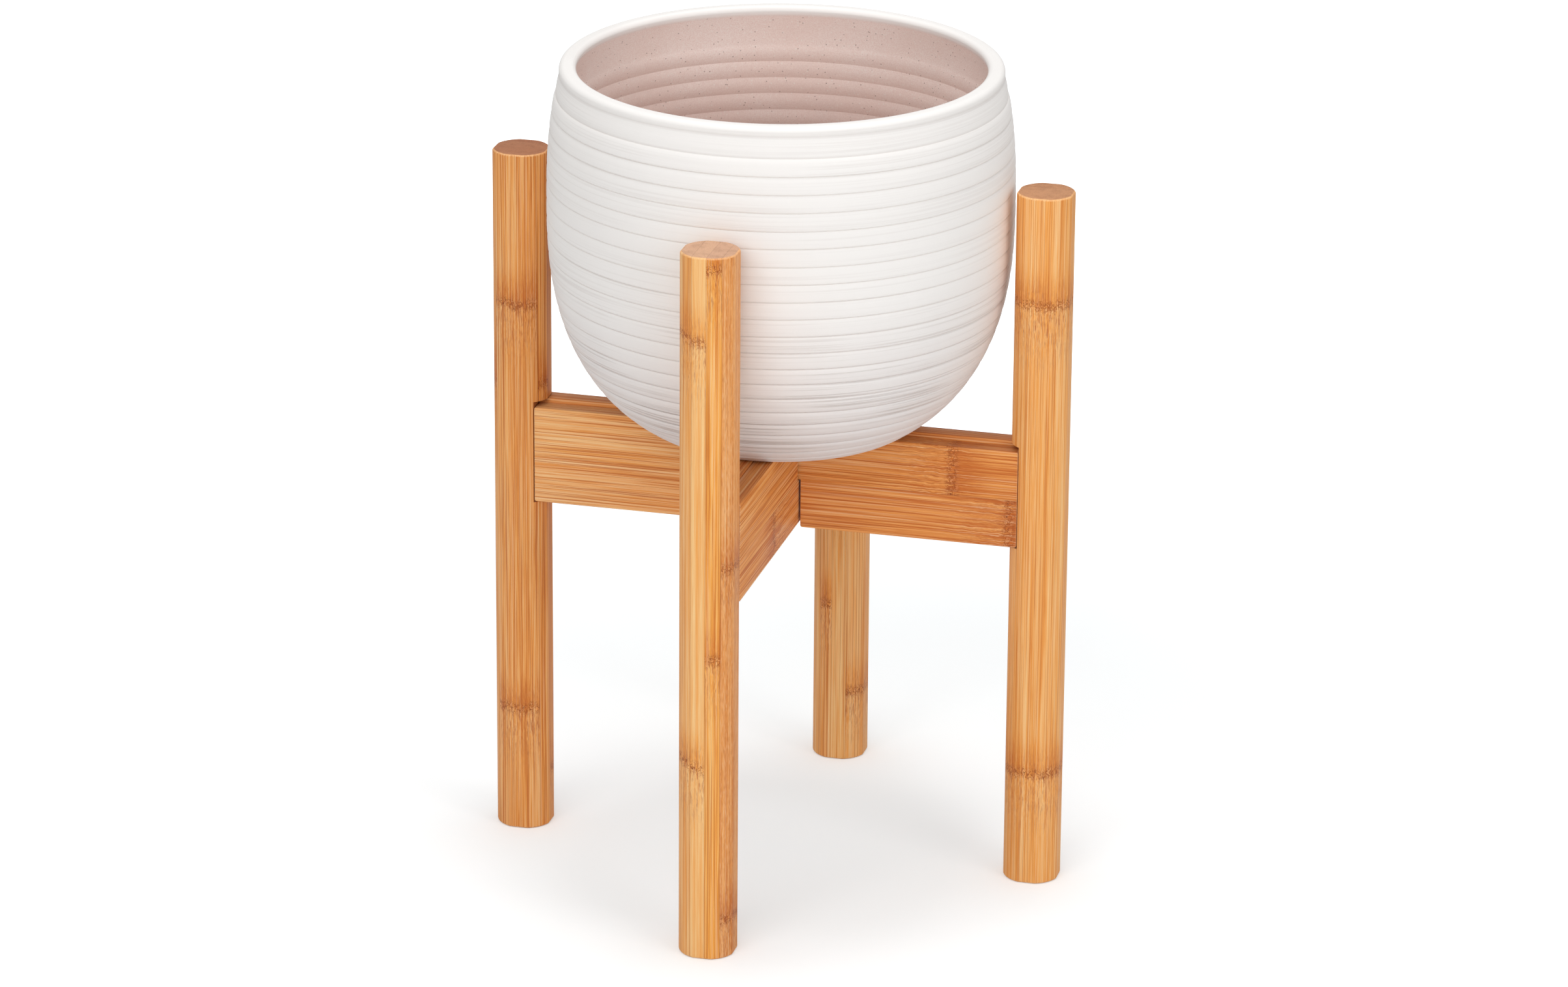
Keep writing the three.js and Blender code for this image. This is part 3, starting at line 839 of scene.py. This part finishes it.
# Name, place, what it points at, the side of its square, all in metres, and its watts.
SOFTBOXES = [
    ("overhead_softbox", (0.0, 0.05, 2.3), (0, 0, 0), 0.5, 13.5),
    ("front_softbox", (-0.35, -2.95, 2.1), (0, 0, 0.25), 2.4, 38),
    ("side_softbox", (2.4, -1.6, 1.3), (0, 0, 0.25), 1.4, 18),
]
WORLD_FILL = 0.5  # the world's strength on the object; seen directly it is plain white


def studio():
    for settings in SOFTBOXES:
        softbox(*settings)
    world = bpy.data.worlds.new("studio")
    world.use_nodes = True
    backdrop = world.node_tree.nodes["Background"]
    backdrop.inputs["Color"].default_value = (1, 1, 1, 1)
    rays = world.node_tree.nodes.new("ShaderNodeLightPath")
    seen = world.node_tree.nodes.new("ShaderNodeMath")
    seen.operation = "MULTIPLY_ADD"
    seen.inputs[1].default_value = 1 - WORLD_FILL
    seen.inputs[2].default_value = WORLD_FILL
    world.node_tree.links.new(rays.outputs["Is Camera Ray"], seen.inputs[0])
    world.node_tree.links.new(seen.outputs[0], backdrop.inputs["Strength"])
    bpy.context.scene.world = world


FLOOR_REACH = 12  # metres each way
FLOOR_GREY = (0.8, 0.8, 0.8, 1)
FLOOR_GLOW = (0.9, 0.975, 1.0, 1)  # a little cool, against the warm light that the wood throws
FLOOR_LIFT = 0.33  # glow added to what the camera sees of the paper round the stand
BACKDROP_LIFT = 0.9  # and far from it
LIFT_FROM = 300.0  # millimetres from the stand's centre at which the glow starts and stops rising
LIFT_TO = 900.0


def floor():
    bm = bmesh.new()
    bmesh.ops.create_grid(bm, x_segments=1, y_segments=1, size=FLOOR_REACH)
    paper = Finish("floor_paper")
    sockets = paper.shader.inputs
    sockets["Base Color"].default_value = FLOOR_GREY
    sockets["Roughness"].default_value = 1.0
    sockets["Specular IOR Level"].default_value = 0.0
    sockets["Emission Color"].default_value = FLOOR_GLOW
    rays = paper.tree.nodes.new("ShaderNodeLightPath")
    from_stand = paper.add("ShaderNodeVectorMath", {0: paper.place()}, output=1, operation="LENGTH")
    lift = paper.step(from_stand, LIFT_FROM, LIFT_TO, FLOOR_LIFT, BACKDROP_LIFT)
    glow = paper.product(lift, rays.outputs["Is Camera Ray"])
    paper.feed(sockets["Emission Strength"], glow)
    item = new_object("floor", bm)
    item.data.materials.append(paper.material)


# ---- The stand, piece by piece ----
# One row for each glued strip. In millimetres: where it begins across the board, from the middle, a
# knuckle's place along the grain, and the distance from one knuckle to the next. Then, from 0 to 1:
# how golden, how light, how streaky, and how far its pores show.
def strip(start, knuckle, spacing, gold, light, streaks, pores=0.0):
    """A strip's row. A colour ramp holds 0 to 1 only, so the distances become shares of LONGEST."""
    return start, knuckle / LONGEST, spacing / LONGEST, gold, light, streaks, pores


LEG_STRIPS = {
    "front": [
        strip(-15, 107, 226, 0.6, 0.72, 0.35),
        strip(-5.9, 104, 226, 0.7, 0.85, 0.1),
        strip(1.7, 163, 206, 1.0, 0.5, 0.5),
        strip(9.2, 211, 190, 0.35, 0.5, 0.3, 0.7),
    ],
    "right": [
        strip(-15, 62, 256, 0.65, 0.66, 0.35),
        strip(5.5, 349, 350, 0.65, 0.5, 0.4),
        strip(10.5, 242, 350, 0.5, 0.45, 0.5),
    ],
    "left": [
        # The left leg's first strip is darker partly for its own tone and partly as painted shade
        # for the pot's shadow on that side.
        strip(-15, 190, 350, 0.1, 0.25, 0.5),
        strip(-9.0, 30, 350, 0.4, 0.5, 0.5),
        strip(1.5, 250, 300, 0.6, 0.47, 0.5),
        strip(10.0, 69, 225, 0.5, 0.55, 0.55),
    ],
    "back": [
        strip(-15, 40, 300, 0.6, 0.72, 0.4),
        strip(-6.0, 160, 320, 0.7, 0.8, 0.4),
        strip(2.0, 90, 250, 0.55, 0.72, 0.5),
        strip(9.0, 210, 350, 0.6, 0.72, 0.4),
    ],
}
SLAT_STRIPS = {
    "right": [strip(-26, 254, 300, 0.35, 0.5, 0.6), strip(-0.5, 224, 300, 0.45, 0.55, 0.6)],
    "left": [strip(-26, 60, 300, 0.3, 0.4, 0.6), strip(2, 140, 300, 0.3, 0.4, 0.6)],
    "front": [strip(-26, 190, 300, 0.45, 0.4, 0.6), strip(-2, 30, 350, 0.45, 0.45, 0.6)],
    "back": [strip(-26, 100, 300, 0.35, 0.4, 0.6), strip(1, 20, 300, 0.35, 0.4, 0.6)],
}
END_TONES = {
    "front": srgb(204, 158, 130),
    "right": srgb(188, 128, 88),
    "left": srgb(166, 100, 66),
    "back": srgb(190, 130, 92),
}
SLAT_END_TONE = srgb(176, 104, 66)
# Painted shade along a board: the right board darkens away from its free end.
SLAT_PAINTED_SHADE_DRIFT = {"right": -1.9, "left": 0.0, "front": 0.0, "back": 0.0}
# Seeds of the grain, far enough apart that no two pieces share it: the first, and the step on.
LEG_SEED = 1.3
LEG_SEED_STEP = 3.7
SLAT_SEED = 20.9
SLAT_SEED_STEP = 5.1

camera()
studio()
floor()

for index, (name, turn) in enumerate(UNITS.items()):
    turned = Matrix.Rotation(turn, 3, "Z")
    unit = name + "_unit"
    axis = turned @ Vector((LEG_AXIS, 0, 0))
    wood = bamboo(
        name + "_leg_bamboo", axis, turn, True, LEG_STRIPS[name], LEG_STRIP_WIDTH,
        LEG_SEED_STEP * index + LEG_SEED, END_TONES[name],
    )
    new_piece(name + "_turned_leg", leg(turn), wood, unit, name + "_leg")
    low, high = slat_boxes[name]
    free_end = (low + high) / 2 - turned @ Vector((SLAT_END, 0, 0))
    board = bamboo(
        name + "_slat_bamboo", free_end, turn, False, SLAT_STRIPS[name], SLAT_STRIP_WIDTH,
        SLAT_SEED_STEP * index + SLAT_SEED, SLAT_END_TONE, SLAT_PAINTED_SHADE_DRIFT[name],
    )
    new_piece(name + "_board", slat(name, turn), board, unit, name + "_slat")

new_piece("ringed_pot", pot(), stoneware(), "pot", "planter")

beech = plain_wood()
plated = zinc()
for node, item in frame["nodes"].items():
    if "dowel" in node:
        item.material_slots[0].material = beech
    if node.startswith("clamp"):
        item.material_slots[0].material = plated

bpy.context.scene.view_settings.view_transform = "Standard"
